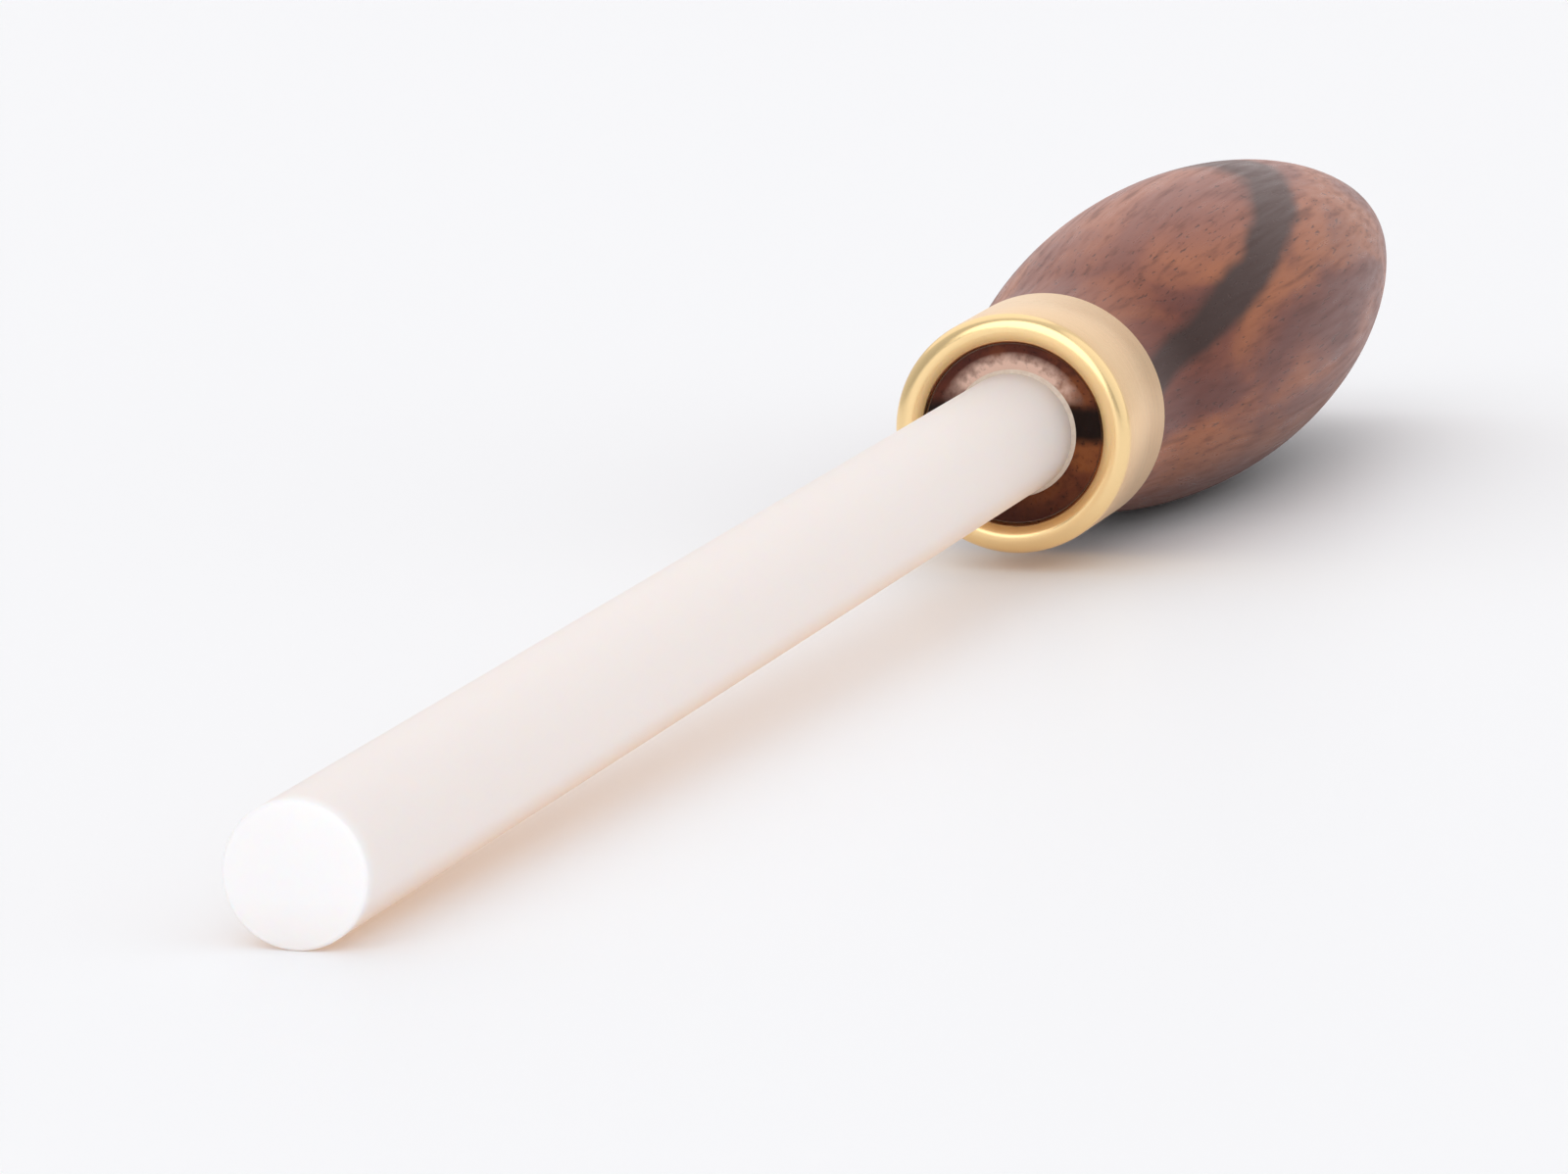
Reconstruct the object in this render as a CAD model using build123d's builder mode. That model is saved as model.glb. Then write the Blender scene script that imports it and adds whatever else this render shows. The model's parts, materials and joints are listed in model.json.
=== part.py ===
"""Ceramic honing rod with a turned hardwood handle and a brass ferrule.

The tool lies on the ground plane z = 0 as it would on a bench: the bottom of the rod's tip and the
belly of the handle touch the plane.  The tip points along -Y and the handle along +Y, and the
origin is under the middle of the whole tool.  All sizes are in millimetres.

Every piece is turned about the tool's axis.  Stations are distances along that axis from the tip.
"""

import os
from math import acos, atan2, cos, hypot, sin

from build123d import *

# --- Ceramic rod: half-inch round stock, ten inches long ---
ROD_DIAMETER = 12.7
ROD_LENGTH = 254.0
EXPOSED_LENGTH = 228.6      # tip to the front rim of the ferrule
TIP_CHAMFER = 0.4           # ground on both ends of the rod

# --- Brass ferrule: one-inch tube with an eighth-inch wall ---
FERRULE_DIAMETER = 25.4
FERRULE_BORE = 19.05
FERRULE_LENGTH = 15.9
RIM_ROUND = 1.45            # outer and inner rounding that makes the front rim a bead
BACK_EDGE_BREAK = 0.3       # chamfer on the edge that meets the wood

# --- Hardwood handle, measured back from the ferrule ---
HANDLE_LENGTH = 127.0       # shoulder to butt
NECK_DIAMETER = 24.2        # where the wood meets the ferrule
SWELL_DIAMETER = 26.5       # where the hollow neck runs into the swelling side
SWELL_DISTANCE = 14.0
BELLY_DIAMETER = 34.0
BELLY_DISTANCE = 58.0
BUTT_DIAMETER = 15.6        # of the end, before it is rounded over
BUTT_ROUND = 7.0
TENON_RECESS = 1.3          # tenon face set back from the ferrule's rim

# --- Glue lines ---
ROD_GLUE = 0.15             # radial gap round the rod in its socket
SOCKET_POOL = 0.6           # glue between the rod's inner end and the bottom of the socket
GLUE_COVE = 0.4             # bead of glue where the rod enters the wood
FERRULE_GLUE = 0.1          # radial gap between tenon and ferrule

# --- Radii ---
rod_radius = ROD_DIAMETER / 2
socket_radius = rod_radius + ROD_GLUE
bore_radius = FERRULE_BORE / 2
tenon_radius = bore_radius - FERRULE_GLUE
belly_radius = BELLY_DIAMETER / 2
swell_radius = SWELL_DIAMETER / 2

# --- Stations along the axis ---
tenon_face = EXPOSED_LENGTH + TENON_RECESS
shoulder = EXPOSED_LENGTH + FERRULE_LENGTH
socket_end = ROD_LENGTH + SOCKET_POOL
swell_station = shoulder + SWELL_DISTANCE
belly_station = shoulder + BELLY_DISTANCE
butt_station = shoulder + HANDLE_LENGTH

# --- How the tool lies: the ground touches the tip's lower edge and the front arc of the belly ---
swell_run = BELLY_DISTANCE - SWELL_DISTANCE
swell_rise = belly_radius - swell_radius
belly_arc = (swell_run**2 + swell_rise**2) / (2 * swell_rise)
arc_drop = belly_arc - (belly_radius - rod_radius)
arc_run = belly_station - TIP_CHAMFER
tilt = atan2(arc_run, arc_drop) - acos(belly_arc / hypot(arc_run, arc_drop))

along = Vector(0, cos(tilt), sin(tilt))
tip_height = rod_radius * cos(tilt) - TIP_CHAMFER * sin(tilt)
butt_flat = BUTT_DIAMETER / 2 - BUTT_ROUND
tip_flat = rod_radius - TIP_CHAMFER
tip_y = -(butt_station * cos(tilt) + (butt_flat - tip_flat) * sin(tilt)) / 2
tip_centre = Vector(0, tip_y, tip_height)

tool_axis = Axis(tip_centre, along)
upward = Vector(0, -sin(tilt), cos(tilt))     # square to the axis, in the tool's upright plane
profile_plane = Plane(origin=tip_centre, x_dir=along, z_dir=upward)      # x = station, y = radius

# Ground alumina rod, a plain cylinder with both ends chamfered.
with BuildPart() as ceramic_rod:
    with BuildSketch(profile_plane):
        Rectangle(ROD_LENGTH, rod_radius, align=(Align.MIN, Align.MIN))
    revolve(axis=tool_axis)
    chamfer(ceramic_rod.edges().filter_by(GeomType.CIRCLE), TIP_CHAMFER)
ceramic_rod.part.label = "ceramic_rod"

# Turned handle: a tenon for the ferrule, a blind socket for the rod, a short hollow neck, the
# swelling grip and a rounded butt.
with BuildPart() as handle:
    with BuildSketch(profile_plane) as handle_profile:
        with BuildLine():
            grip_back = TangentArc(
                (belly_station, belly_radius), (butt_station, BUTT_DIAMETER / 2), tangent=(1, 0)
            )
            grip_front = TangentArc(
                (belly_station, belly_radius), (swell_station, swell_radius), tangent=(-1, 0)
            )
            neck = Spline(
                grip_front @ 1, (shoulder, NECK_DIAMETER / 2), tangents=(grip_front % 1, (-1, 0))
            )
            Polyline(
                neck @ 1,
                (shoulder, tenon_radius),
                (tenon_face, tenon_radius),
                (tenon_face, socket_radius),
                (socket_end, socket_radius),
                (socket_end, 0),
                (butt_station, 0),
                grip_back @ 1,
            )
        make_face()
        butt_corner = handle_profile.vertices().sort_by_distance((butt_station, BUTT_DIAMETER / 2))[0]
        fillet(butt_corner, BUTT_ROUND)
    revolve(axis=tool_axis)
handle.part.label = "handle"

# Brass ferrule: a ring whose front edges are rounded over into a bead.
with BuildPart() as ferrule:
    with BuildSketch(profile_plane) as ferrule_profile:
        with Locations((EXPOSED_LENGTH, bore_radius)):
            Rectangle(
                FERRULE_LENGTH, FERRULE_DIAMETER / 2 - bore_radius, align=(Align.MIN, Align.MIN)
            )
        rim_corners = ferrule_profile.vertices().group_by(Axis.X)[0]
        fillet(rim_corners, RIM_ROUND)
        back_corner = ferrule_profile.vertices().group_by(Axis.X)[-1].sort_by(Axis.Y)[-1]
        chamfer(back_corner, BACK_EDGE_BREAK)
    revolve(axis=tool_axis)
ferrule.part.label = "ferrule"

# Epoxy that holds the rod: a sleeve and an end pool that fill the socket, and a small cove where
# the rod leaves the wood.
with BuildPart() as rod_bond:
    with BuildSketch(profile_plane):
        with BuildLine():
            Polyline(
                (ROD_LENGTH, 0),
                (ROD_LENGTH, rod_radius - TIP_CHAMFER),
                (ROD_LENGTH - TIP_CHAMFER, rod_radius),
                (tenon_face - GLUE_COVE, rod_radius),
                (tenon_face, rod_radius + GLUE_COVE),
                (tenon_face, socket_radius),
                (socket_end, socket_radius),
                (socket_end, 0),
                close=True,
            )
        make_face()
    revolve(axis=tool_axis)
rod_bond.part.label = "rod_bond"

# Epoxy that holds the ferrule on the tenon.
with BuildPart() as ferrule_bond:
    with BuildSketch(profile_plane):
        with Locations((EXPOSED_LENGTH + RIM_ROUND, tenon_radius)):
            Rectangle(FERRULE_LENGTH - RIM_ROUND, FERRULE_GLUE, align=(Align.MIN, Align.MIN))
    revolve(axis=tool_axis)
ferrule_bond.part.label = "ferrule_bond"

os.makedirs("parts", exist_ok=True)
for piece in (ceramic_rod, handle, ferrule, rod_bond, ferrule_bond):
    export_step(piece.part, f"parts/{piece.part.label}.step")
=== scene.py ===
"""The looks of a ceramic honing rod: a white alumina rod in a turned wooden handle with a brass ferrule.

The sections follow the tool as it is put together: rod, handle, ferrule and glue, and then the floor,
the light and the camera. Every piece is turned about the tool's axis, so it is made in the tool's own
coordinates (x across, y the station along the axis from the rod's tip, z up) and laid in the frame.
"""

import json
from math import acos, atan2, hypot, pi, radians, sqrt, tan

import bmesh
import bpy
from mathutils import Euler, Matrix, Vector
from mathutils.geometry import interpolate_bezier


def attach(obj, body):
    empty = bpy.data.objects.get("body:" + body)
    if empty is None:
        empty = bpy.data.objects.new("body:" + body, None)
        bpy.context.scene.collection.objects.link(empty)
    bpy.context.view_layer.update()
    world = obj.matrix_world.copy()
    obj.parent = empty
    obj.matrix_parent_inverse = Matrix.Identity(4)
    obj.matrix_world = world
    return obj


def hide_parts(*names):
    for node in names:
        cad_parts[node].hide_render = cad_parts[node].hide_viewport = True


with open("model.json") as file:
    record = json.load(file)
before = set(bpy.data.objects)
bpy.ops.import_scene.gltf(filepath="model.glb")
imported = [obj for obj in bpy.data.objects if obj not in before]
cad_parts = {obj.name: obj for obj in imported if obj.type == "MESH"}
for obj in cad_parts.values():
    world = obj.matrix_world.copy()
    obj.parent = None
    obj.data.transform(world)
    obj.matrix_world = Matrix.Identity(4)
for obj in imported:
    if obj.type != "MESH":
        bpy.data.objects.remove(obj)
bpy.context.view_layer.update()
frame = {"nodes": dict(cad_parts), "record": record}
MM = 0.001


# ---- Ceramic rod -----------------------------------------------------------------------------
# A half-inch stick of sintered alumina, ground round on a centreless grinder and cut off square,
# with the edges of both ends eased. It is glued an inch deep into the handle.

TIP_EASE = 0.4 * MM

tip_mount = next(mount for mount in frame["record"]["mounts"] if mount["name"] == "tip")
tip = Vector(tip_mount["pos_m"])
along = -Vector(tip_mount["axis"])
tilt = atan2(along.z, along.y)
lay = Matrix.Translation(tip) @ Matrix.Rotation(tilt, 4, "X")


def reach(node):
    """The first and last station of a CAD node, and its least and greatest radius."""
    corners = [lay.inverted() @ vertex.co for vertex in frame["nodes"][node].data.vertices]
    stations = [corner.y for corner in corners]
    radii = [hypot(corner.x, corner.z) for corner in corners]
    return min(stations), max(stations), min(radii), max(radii)


def turned(outline, steps=160):
    """A bmesh spun about the tool's axis from an outline of (station, radius) points."""
    form = bmesh.new()
    corners = [form.verts.new((0, station, radius)) for station, radius in outline]
    edges = [form.edges.new(pair) for pair in zip(corners, corners[1:])]
    bmesh.ops.spin(
        form, geom=corners + edges, cent=(0, 0, 0), axis=(0, 1, 0),
        angle=2 * pi, steps=steps, use_merge=True,
    )
    bmesh.ops.remove_doubles(form, verts=form.verts, dist=0.001 * MM)
    return form


def ease_ring(form, station, radius, width, segments):
    """Rounds the ring edge at a station and radius over, as far as width to each side of it."""
    near = 0.01 * MM
    ring = [
        edge for edge in form.edges
        if all(abs(v.co.y - station) < near for v in edge.verts)
        and all(abs(hypot(v.co.x, v.co.z) - radius) < near for v in edge.verts)
    ]
    bmesh.ops.bevel(
        form, geom=ring, affect="EDGES", offset=width, segments=segments, profile=0.5, material=-1,
    )


def set_piece(form, name, node, material, crease=30):
    """Lays a finished form in the frame as a piece that stands for a CAD node."""
    bmesh.ops.recalc_face_normals(form, faces=form.faces)
    bmesh.ops.transform(form, matrix=lay, verts=form.verts)
    mesh = bpy.data.meshes.new(name)
    form.to_mesh(mesh)
    form.free()
    mesh.shade_smooth()
    mesh.set_sharp_from_angle(angle=radians(crease))
    mesh.materials.append(material)
    piece = bpy.data.objects.new(name, mesh)
    bpy.context.scene.collection.objects.link(piece)
    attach(piece, "root")
    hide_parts(node)


def colour(hex_value):
    """An sRGB hex colour as the linear colour that a shader takes."""
    shares = [int(hex_value[i:i + 2], 16) / 255 for i in (1, 3, 5)]
    return [s / 12.92 if s <= 0.04045 else ((s + 0.055) / 1.055) ** 2.4 for s in shares] + [1]


def new_material(name):
    """A new node material, its tree, its shader and the tool's coordinates in metres."""
    material = bpy.data.materials.new(name)
    material.use_nodes = True
    tree = material.node_tree
    shader = tree.nodes["Principled BSDF"]
    place = add(tree, "TexCoord", {})
    tool = add(
        tree, "Mapping",
        {"Vector": place.outputs["Object"], "Location": tip, "Rotation": (tilt, 0, 0)},
        vector_type="TEXTURE",
    )
    return material, tree, shader, tool


def add(tree, kind, sockets, **settings):
    """Adds a node with its settings, and gives each socket its value or the node that feeds it."""
    made = tree.nodes.new("ShaderNode" + kind)
    for setting, value in settings.items():
        setattr(made, setting, value)
    feed(tree, made, sockets)
    return made


def feed(tree, node, sockets):
    """Sets or links a node's sockets, each named or counted among the ones in use."""
    in_use = [socket for socket in node.inputs if socket.enabled]
    for key, value in sockets.items():
        socket = in_use[key] if isinstance(key, int) else next(s for s in in_use if s.name == key)
        if isinstance(value, bpy.types.Node):
            value = next(output for output in value.outputs if output.enabled)
        if isinstance(value, bpy.types.NodeSocket):
            tree.links.new(value, socket)
        else:
            socket.default_value = value


rod_start, rod_end, _, rod_radius = reach("ceramic_rod")
stick = turned([(rod_start, 0), (rod_start, rod_radius), (rod_end, rod_radius), (rod_end, 0)])
for end in (rod_start, rod_end):
    ease_ring(stick, end, rod_radius, TIP_EASE, 3)

# Sintered alumina: dense, fine and white, but light goes several millimetres into it and comes out
# warm, because the blue is lost first. It comes out mostly underneath, where little falls on the rod,
# and lies as a glow on the floor. The grinder leaves faint rings, which only blur the gloss.
alumina, tree, shader, tool = new_material("sintered_alumina")
MOTTLE = 6 * MM
GRIT = 0.25 * MM
GRINDING_RING = 0.6 * MM
RIDGE = 0.01 * MM
NOISE_REACH = {"From Min": 0.3, "From Max": 0.7}      # where most of a noise's values lie
END_SKIN = (0.05 * MM, 2 * MM)                        # from the end face, which is whiter

mottle = add(tree, "TexNoise", {"Vector": tool, "Scale": 1 / MOTTLE, "Detail": 3})
body = add(
    tree, "Mix", {"Factor": mottle, "A": colour("#fdfdff"), "B": colour("#fafbfe")}, data_type="RGBA",
)
grit = add(tree, "TexNoise", {"Vector": tool, "Scale": 1 / GRIT, "Detail": 2})
spot = add(tree, "SeparateXYZ", {"Vector": tool})
rings = add(
    tree, "TexNoise", {"W": spot.outputs["Y"], "Scale": 1 / GRINDING_RING, "Detail": 2},
    noise_dimensions="1D",
)
gloss = add(tree, "MapRange", {"Value": rings, **NOISE_REACH, "To Min": 0.36, "To Max": 0.48})
tooth = add(tree, "Math", {0: grit, 1: rings}, operation="ADD")
relief = add(tree, "Bump", {"Height": tooth, "Strength": 0.25, "Distance": RIDGE})
feed(tree, shader, {
    "Base Color": body,
    "Roughness": gloss,
    "IOR": 1.76,
    "Normal": relief,
    "Subsurface Weight": 0.4,
    "Subsurface Radius": (1.0, 0.6, 0.4),
    "Subsurface Scale": 2 * MM,
})
through = add(tree, "BsdfTranslucent", {"Color": colour("#ffe9d2"), "Normal": relief})
under = add(tree, "MapRange", {
    "Value": spot.outputs["Z"], "From Min": -0.95 * rod_radius, "From Max": -0.3 * rod_radius,
    "To Min": 0.75, "To Max": 0.25,
})
behind_tip = add(tree, "MapRange", {
    "Value": spot.outputs["Y"], "From Min": END_SKIN[0], "From Max": END_SKIN[1], "To Min": 0.2,
})
share = add(tree, "Math", {0: under, 1: behind_tip}, operation="MULTIPLY")
white = add(tree, "MixShader", {0: share, 1: shader, 2: through})
feed(tree, tree.nodes["Material Output"], {"Surface": white})
set_piece(stick, "ceramic_stick", "ceramic_rod", alumina)


# ---- Handle ----------------------------------------------------------------------------------
# One piece of a dense rosewood, turned between centres: a tenon for the ferrule, a blind socket for
# the rod, a short hollow neck, a long swelling grip and a rounded butt. Sanded, oiled and waxed.

NECK_RADIUS = 12.1 * MM
SWELL_RADIUS = 13.25 * MM
SWELL_RUN = 14 * MM            # shoulder to the end of the hollow neck
BELLY_RUN = 58 * MM            # shoulder to the thickest place
BUTT_RADIUS = 7.8 * MM         # of the end before it is rounded over
BUTT_ROUND = 7 * MM
ARC_POINTS = 24

tenon_face, butt, _, belly_radius = reach("handle")
ferrule_front, shoulder, bore_radius, ferrule_radius = reach("ferrule")
_, _, tenon_radius, _ = reach("ferrule_bond")
_, socket_end, _, socket_radius = reach("rod_bond")
belly = shoulder + BELLY_RUN
swell = shoulder + SWELL_RUN


def arc_radius(run, rise):
    """The radius of an arc that starts level and drops by rise over run."""
    return (run**2 + rise**2) / (2 * rise)


front_arc = arc_radius(belly - swell, belly_radius - SWELL_RADIUS)
back_arc = arc_radius(butt - belly, belly_radius - BUTT_RADIUS)
butt_turn = acos((butt - belly) / back_arc)      # from the side of the grip to its end face


def grip_outline():
    """The outline from the hollow neck over the belly to the butt, whose last run is left straight
    so that its rounding has room."""
    slope = (belly - swell) / (front_arc - belly_radius + SWELL_RADIUS)
    pull = SWELL_RUN / 3
    hollow = interpolate_bezier(
        (shoulder, NECK_RADIUS), (shoulder + pull, NECK_RADIUS),
        (swell - pull, SWELL_RADIUS - slope * pull), (swell, SWELL_RADIUS), ARC_POINTS,
    )
    outline = [tuple(point)[:2] for point in hollow]
    for arc, start, end in ((front_arc, swell, belly), (back_arc, belly, butt - BUTT_ROUND)):
        for i in range(1, ARC_POINTS + 1):
            station = start + (end - start) * i / ARC_POINTS
            outline.append((station, belly_radius - arc + sqrt(arc**2 - (station - belly)**2)))
    return outline + [(butt, BUTT_RADIUS)]


blank = turned(
    [(socket_end, 0), (socket_end, socket_radius), (tenon_face, socket_radius),
     (tenon_face, tenon_radius), (shoulder, tenon_radius)] + grip_outline() + [(butt, 0)]
)
ease_ring(blank, butt, BUTT_RADIUS, BUTT_ROUND * tan(butt_turn / 2), 14)

# Oiled rosewood: red-brown with orange and plum zones drawn out along the grain, short dark pores,
# and one black vein that lies in the wood as a sloping sheet, so it shows on the tenon's end too.
# The wood is painted darker towards the bottom, a painted shade on the underside, and paler on top,
# a painted sheen. Hand-rubbed wax leaves a low satin sheen that pales the sides. The tenon's end grain
# takes the oil darker and is painted darker still, as painted shade in the ferrule's recess, and above
# the rod it holds pale dust of the rod with a painted sheen laid over it.
rosewood, tree, shader, tool = new_material("oiled_rosewood")
ZONE = Vector((9, 40, 9)) * MM             # size of a colour zone: across, along, up
STREAK = Vector((0.9, 16, 0.9)) * MM
PORE = Vector((0.35, 3.2, 0.35)) * MM
PORE_DEPTH = 0.05 * MM
VEIN_HEIGHT = 1.3 * MM                     # of the vein's middle at the tenon's face
VEIN_RISE = 0.16                           # per millimetre along the handle
VEIN_HALF = 1.8 * MM
VEIN_WAVE = Vector((12, 22, 12)) * MM
VEIN_WANDER = 1.6 * MM
DUST_AND_SHEEN_REACH = 2.3 * MM                      # how far the dust and its painted sheen lie out from the rod
DUST_AND_SHEEN_FLECK = 0.8 * MM
DUST_AND_SHEEN_STRENGTH = 6.5


def grained(size):
    """The tool's coordinates stretched so that one unit is a feature of this size."""
    return add(tree, "Mapping", {"Vector": tool, "Scale": [1 / side for side in size]})


zones = add(tree, "TexNoise", {"Vector": grained(ZONE), "Scale": 1, "Detail": 4, "Distortion": 0.6})
streaks = add(tree, "TexNoise", {"Vector": grained(STREAK), "Scale": 1, "Detail": 5})
pores = add(tree, "TexNoise", {"Vector": grained(PORE), "Scale": 1, "Detail": 2})

# How far a point lies from the middle of the vein's wandering sheet.
across_sheet = Vector((0, -VEIN_RISE, 1)).normalized()
middle = (VEIN_HEIGHT - VEIN_RISE * tenon_face) / hypot(1, VEIN_RISE)
sheet = add(tree, "VectorMath", {0: tool, 1: across_sheet}, operation="DOT_PRODUCT")
wave = add(tree, "TexNoise", {"Vector": grained(VEIN_WAVE), "Scale": 1, "Detail": 3})
wander = add(tree, "MapRange", {"Value": wave, "To Min": -VEIN_WANDER, "To Max": VEIN_WANDER})
off_vein = add(tree, "Math", {0: sheet, 1: middle}, operation="SUBTRACT")
off_vein = add(tree, "Math", {0: off_vein, 1: wander}, operation="SUBTRACT")
off_vein = add(tree, "Math", {0: off_vein}, operation="ABSOLUTE")

# For each tone: its pattern, where in it the tone starts and where it is full, and how strong it is.
orange, plum, line, pore, vein = (
    add(
        tree, "MapRange", {"Value": pattern, "From Min": start, "From Max": full, "To Max": most},
        interpolation_type="SMOOTHSTEP",
    )
    for pattern, start, full, most in (
        (zones, 0.42, 0.66, 1),
        (zones, 0.5, 0.32, 1),
        (streaks, 0.5, 0.75, 0.55),
        (pores, 0.6, 0.72, 0.7),
        (off_vein, VEIN_HALF * 1.45, VEIN_HALF * 0.6, 1),
    )
)

# The same for what depends on a place: the painted shade below, the painted sheen on top, the
# tenon's end, partly painted shade, and the dust, partly a painted sheen.
spot = add(tree, "SeparateXYZ", {"Vector": tool})
disc = add(tree, "CombineXYZ", {"X": spot.outputs["X"], "Z": spot.outputs["Z"]})
from_axis = add(tree, "VectorMath", {0: disc}, operation="LENGTH")
painted_underside_shade, painted_top_sheen, end_grain_and_shade, near_rod, above_rod = (
    add(tree, "MapRange", {"Value": place, "From Min": start, "From Max": full, "To Max": most})
    for place, start, full, most in (
        # painted shade: the wood is made darker towards the bottom, where the handle lies in shadow
        (spot.outputs["Z"], -4 * MM, -14 * MM, 0.95),
        # painted sheen: the top of the handle is made paler, where it catches the light
        (spot.outputs["Z"], 9 * MM, 17 * MM, 0.42),
        # the tenon's end: end grain takes the oil darker, and it is painted darker still as painted
        # shade in the ferrule's recess
        (spot.outputs["Y"], tenon_face + 1 * MM, tenon_face + 0.5 * MM, 0.36),
        (from_axis, rod_radius + DUST_AND_SHEEN_REACH, rod_radius + 0.3 * MM, 1),
        (spot.outputs["Z"], 3 * MM, rod_radius, 1),
    )
)
# Pale dust of the rod in the end grain above it, with a painted sheen: the flecks are made brighter on
# the upper side.
fleck = add(tree, "TexNoise", {"Vector": tool, "Scale": 1 / DUST_AND_SHEEN_FLECK, "Detail": 4})
dust_and_sheen = add(tree, "MapRange", {"Value": fleck, "From Min": 0.1, "From Max": 0.7})
for limit in (near_rod, above_rod, end_grain_and_shade, DUST_AND_SHEEN_STRENGTH):
    dust_and_sheen = add(
        tree, "Math", {0: dust_and_sheen, 1: limit}, operation="MULTIPLY", use_clamp=limit == DUST_AND_SHEEN_STRENGTH,
    )

wood = colour("#6d3828")
# Among these tones, the dark one below is painted shade, the pale one on top is a painted sheen, the
# tenon's end is partly painted shade and the dust is partly a painted sheen.
for share, tint in (
    (orange, "#9a5a34"), (plum, "#582c25"), (painted_underside_shade, "#2a140c"), (painted_top_sheen, "#b87a68"), (line, "#43231b"),
    (vein, "#150f0d"), (pore, "#20110d"), (end_grain_and_shade, "#1c0f0b"), (dust_and_sheen, "#dab8a8"),
):
    wood = add(tree, "Mix", {"Factor": share, "A": wood, "B": colour(tint)}, data_type="RGBA")

gloss = add(tree, "MapRange", {"Value": streaks, **NOISE_REACH, "To Min": 0.26, "To Max": 0.38})
grooves = add(tree, "Math", {0: pore, 1: -1.0}, operation="MULTIPLY")
relief = add(tree, "Bump", {"Height": grooves, "Strength": 0.4, "Distance": PORE_DEPTH})
feed(tree, shader, {
    "Base Color": wood,
    "Roughness": gloss,
    "IOR": 1.42,
    "Specular IOR Level": 0.1,
    "Sheen Weight": 0.16,
    "Sheen Roughness": 0.5,
    "Sheen Tint": colour("#ffae9c"),
    "Normal": relief,
})
set_piece(blank, "turned_handle", "handle", rosewood)


# ---- Ferrule ---------------------------------------------------------------------------------
# A ring parted off one-inch brass tube with an eighth-inch wall. Its front is rounded over into a
# bead and buffed, and its side is left satin from fine paper on the lathe. It is glued on the tenon.

RIM_ROUND = 1.45 * MM
BACK_BREAK = 0.3 * MM
ring = turned([
    (ferrule_front, bore_radius), (ferrule_front, ferrule_radius),
    (shoulder, ferrule_radius), (shoulder, bore_radius), (ferrule_front, bore_radius),
])
for rim_radius in (bore_radius, ferrule_radius):
    ease_ring(ring, ferrule_front, rim_radius, RIM_ROUND, 10)
ease_ring(ring, shoulder, ferrule_radius, BACK_BREAK, 2)

# Yellow brass: the side's fine rings spread the light round the ring into a pale satin, and the
# buffed bead mirrors the room, gold where it sees itself and nearly white where it sees the lamp.
brass, tree, shader, tool = new_material("turned_brass")
LATHE_RING = 0.12 * MM
SCRATCH = 0.01 * MM
TARNISH = 5 * MM
station = add(tree, "SeparateXYZ", {"Vector": tool}).outputs["Y"]
scratches = add(
    tree, "TexNoise", {"W": station, "Scale": 1 / LATHE_RING, "Detail": 3}, noise_dimensions="1D",
)
side = add(
    tree, "MapRange", {
        "Value": station,
        "From Min": ferrule_front + RIM_ROUND * 0.5, "From Max": ferrule_front + RIM_ROUND,
    },
    interpolation_type="SMOOTHSTEP",
)
tarnish = add(tree, "TexNoise", {"Vector": tool, "Scale": 1 / TARNISH, "Detail": 3})
satin = add(
    tree, "Mix", {"Factor": tarnish, "A": colour("#fad8a8"), "B": colour("#f3c892")}, data_type="RGBA",
)
metal = add(tree, "Mix", {"Factor": side, "A": colour("#fcdca4"), "B": satin}, data_type="RGBA")
rough = add(tree, "MapRange", {"Value": scratches, **NOISE_REACH, "To Min": 0.26, "To Max": 0.4})
rough = add(tree, "Mix", {"Factor": side, "A": 0.2, "B": rough}, data_type="FLOAT")
depth = add(tree, "Math", {0: scratches, 1: side}, operation="MULTIPLY")
relief = add(tree, "Bump", {"Height": depth, "Strength": 0.3, "Distance": SCRATCH})
feed(tree, shader, {"Base Color": metal, "Metallic": 1.0, "Roughness": rough, "Normal": relief})
set_piece(ring, "brass_ferrule", "ferrule", brass)


# ---- Glue ------------------------------------------------------------------------------------
# Slow epoxy. It fills the socket round the rod and stands as a small cove where the rod leaves the
# wood, and a thin film of it holds the ferrule. Only the cove shows.

# Cured epoxy, clear and slightly amber: the cove round the rod is clouded with the rod's pale dust,
# and the film on the tenon has the colour of the wood behind it.
for name, finish, cloud_size, thin, thick, roughness in (
    ("rod_bond", "dusty_epoxy", 0.5 * MM, "#e9dfd2", "#c8b3a3", 0.3),
    ("ferrule_bond", "amber_epoxy", 0.8 * MM, "#5a3a24", "#7a5232", 0.25),
):
    epoxy, tree, shader, tool = new_material(finish)
    cloud = add(tree, "TexNoise", {"Vector": tool, "Scale": 1 / cloud_size, "Detail": 3})
    glue = add(tree, "Mix", {"Factor": cloud, "A": colour(thin), "B": colour(thick)}, data_type="RGBA")
    feed(tree, shader, {"Base Color": glue, "Roughness": roughness, "IOR": 1.55})
    bond = frame["nodes"][name]
    bond.data.materials.clear()
    bond.data.materials.append(epoxy)


# ---- Floor -----------------------------------------------------------------------------------
# A wide sweep of smooth white card that the tool lies on.

FLOOR_SIDE = 24.0
sweep = bmesh.new()
bmesh.ops.create_grid(sweep, x_segments=1, y_segments=1, size=FLOOR_SIDE / 2)
mesh = bpy.data.meshes.new("floor")
sweep.to_mesh(mesh)
sweep.free()
floor = bpy.data.objects.new("floor", mesh)
bpy.context.scene.collection.objects.link(floor)
card, tree, shader, tool = new_material("white_card")
feed(tree, shader, {
    "Base Color": colour("#f8f8f9"),
    "Roughness": 0.45,
    "Specular IOR Level": 0.08,
})
mesh.materials.append(card)


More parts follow.
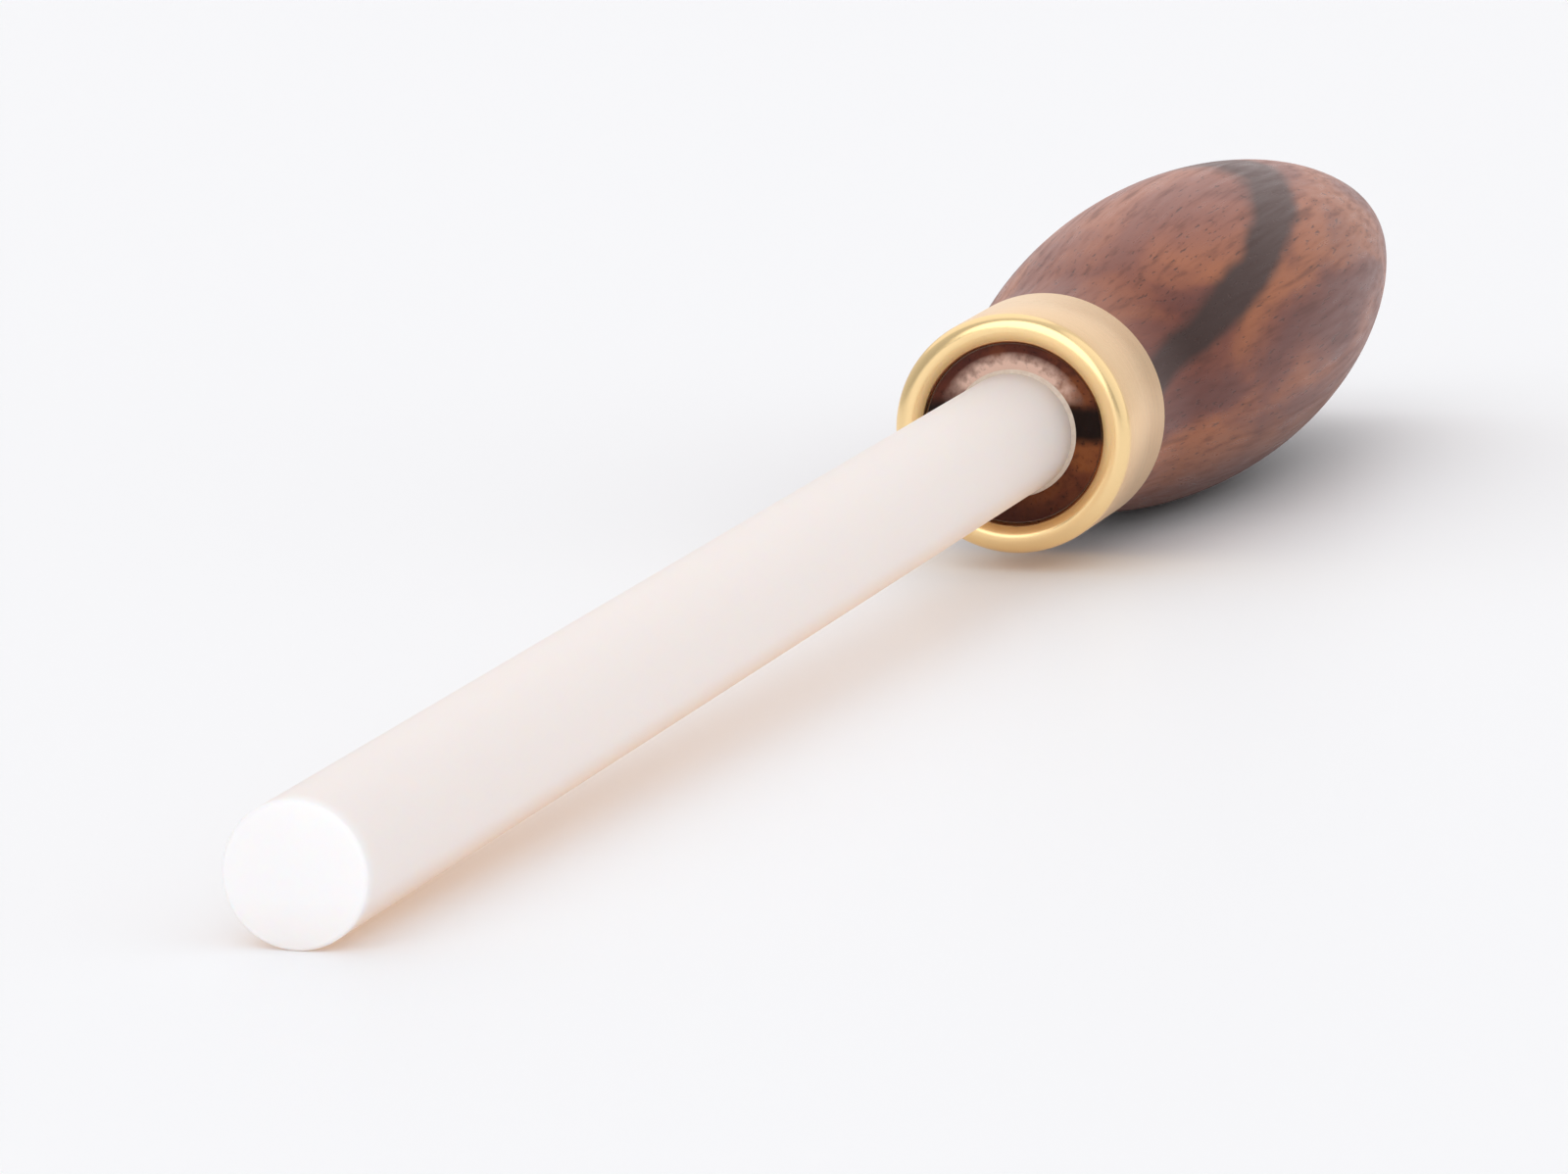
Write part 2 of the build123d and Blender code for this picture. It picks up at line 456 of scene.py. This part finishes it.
# ---- Light -----------------------------------------------------------------------------------
# A white room, lighter at the back and above, with large soft lamps so far off that the floor is lit
# evenly: the key from behind on the left throws the shadows to the right and forward, and the fill
# from the front lights the rod's end.

world = bpy.data.worlds.new("white_room")
bpy.context.scene.world = world
world.use_nodes = True
tree = world.node_tree
sky = add(tree, "TexCoord", {}).outputs["Generated"]
lift = add(tree, "VectorMath", {0: sky, 1: (0.05, 0.75, 0.6)}, operation="DOT_PRODUCT")
level = add(
    tree, "MapRange", {"Value": lift, "From Min": -1, "From Max": 1, "To Min": 0.38, "To Max": 0.86},
)
feed(tree, tree.nodes["Background"], {"Color": colour("#fbfbfd"), "Strength": level})


def soft_lamp(name, heading, height, width, strength):
    """A sun as wide as a softbox: heading is where it stands, clockwise from +Y, in degrees."""
    lamp = bpy.data.lights.new(name, "SUN")
    lamp.angle = radians(width)
    lamp.energy = strength
    stand = bpy.data.objects.new(name, lamp)
    stand.rotation_euler = Euler((radians(90 - height), 0, radians(180 - heading)))
    bpy.context.scene.collection.objects.link(stand)


soft_lamp("key", heading=-50, height=55, width=70, strength=0.32)
soft_lamp("fill", heading=-178, height=28, width=60, strength=1.0)
soft_lamp("right", heading=98, height=32, width=80, strength=0.42)
soft_lamp("back", heading=-12, height=10, width=40, strength=0.08)


# ---- Camera ----------------------------------------------------------------------------------
# A long lens close to the floor, looking along the tool over its tip.

LENS = 220.69
STAND = Vector((254.86, -733.39, 136.05)) * MM       # from the rod's tip
LOOK_DOWN = 8.23                                     # degrees
LOOK_LEFT = 16.20                                    # degrees from +Y

bpy.context.scene.view_settings.view_transform = "Standard"
bpy.context.scene.cycles.diffuse_bounces = 10        # lets light pass through the rod to the floor
lens = bpy.data.cameras.new("camera")
lens.lens = LENS
lens.clip_start = 0.05
lens.clip_end = 60
camera = bpy.data.objects.new("camera", lens)
camera.location = tip + STAND
camera.rotation_euler = Euler((radians(90 - LOOK_DOWN), 0, radians(LOOK_LEFT)))
bpy.context.scene.collection.objects.link(camera)
bpy.context.scene.camera = camera
